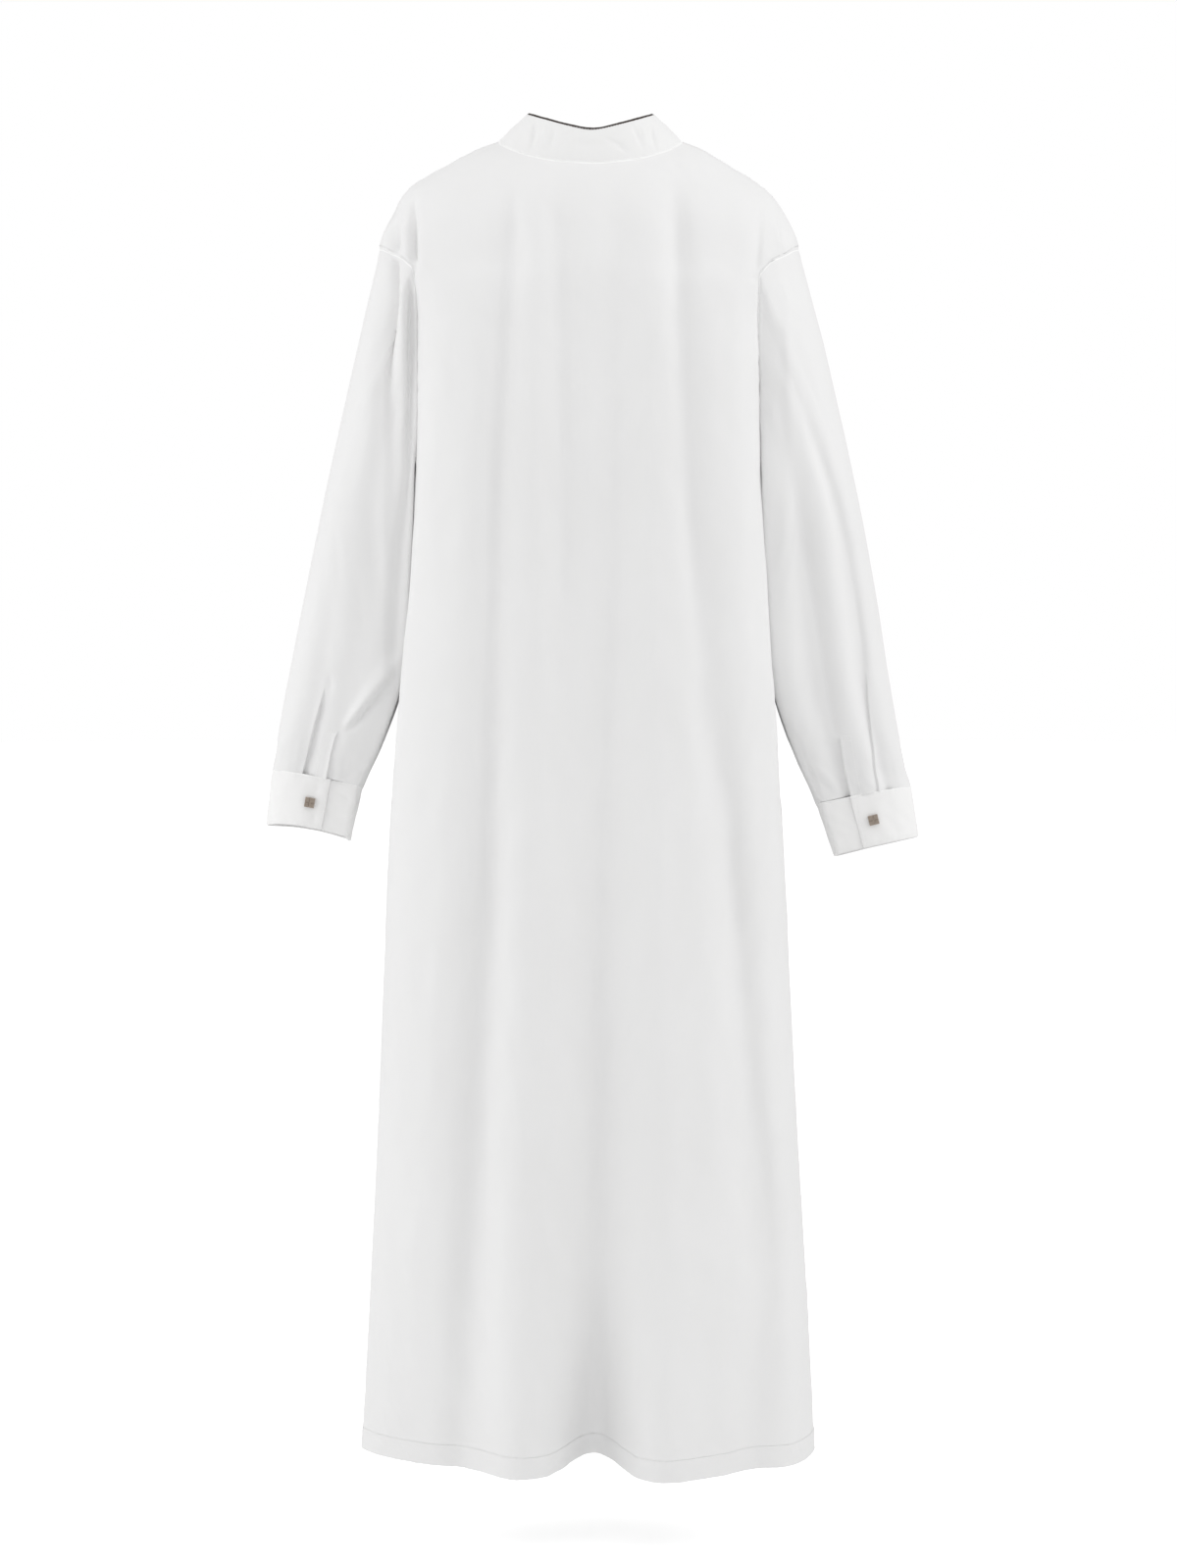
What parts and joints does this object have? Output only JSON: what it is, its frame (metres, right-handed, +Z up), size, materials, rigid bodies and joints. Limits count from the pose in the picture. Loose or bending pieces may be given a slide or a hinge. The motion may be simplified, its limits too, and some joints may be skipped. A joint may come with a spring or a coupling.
{
  "type": "thobe robe",
  "caption": "Ankle-length plain white cotton thobe with a stand collar, dropped shoulders, long sleeves, band cuffs and square cuff studs.",
  "frame": {"origin": "the point midway between the two shoulder-neck points, where the shoulders of the wearer carry the robe", "axes": "+Z up along the robe, +X towards the wearer's left, +Y out of the back, so the front faces -Y"},
  "size_m": [0.7028, 0.2584, 1.4325],
  "materials": {
    "cloth": "plain-weave white cotton and polyester, matt with a faint sheen",
    "band": "the same white cloth, interlined and edge-stitched",
    "stud": "satin, slightly warm and worn"
  },
  "bodies": {
    "root": {"back": "cloth", "front": "cloth", "sleeve_left": "cloth", "sleeve_right": "cloth", "sleeve_placket_left": "cloth", "sleeve_placket_right": "cloth", "front_placket": "cloth", "collar": "band", "cuff_left": "band", "cuff_right": "band", "stud_left": "stud", "stud_right": "stud"}
  },
  "joints": []
}
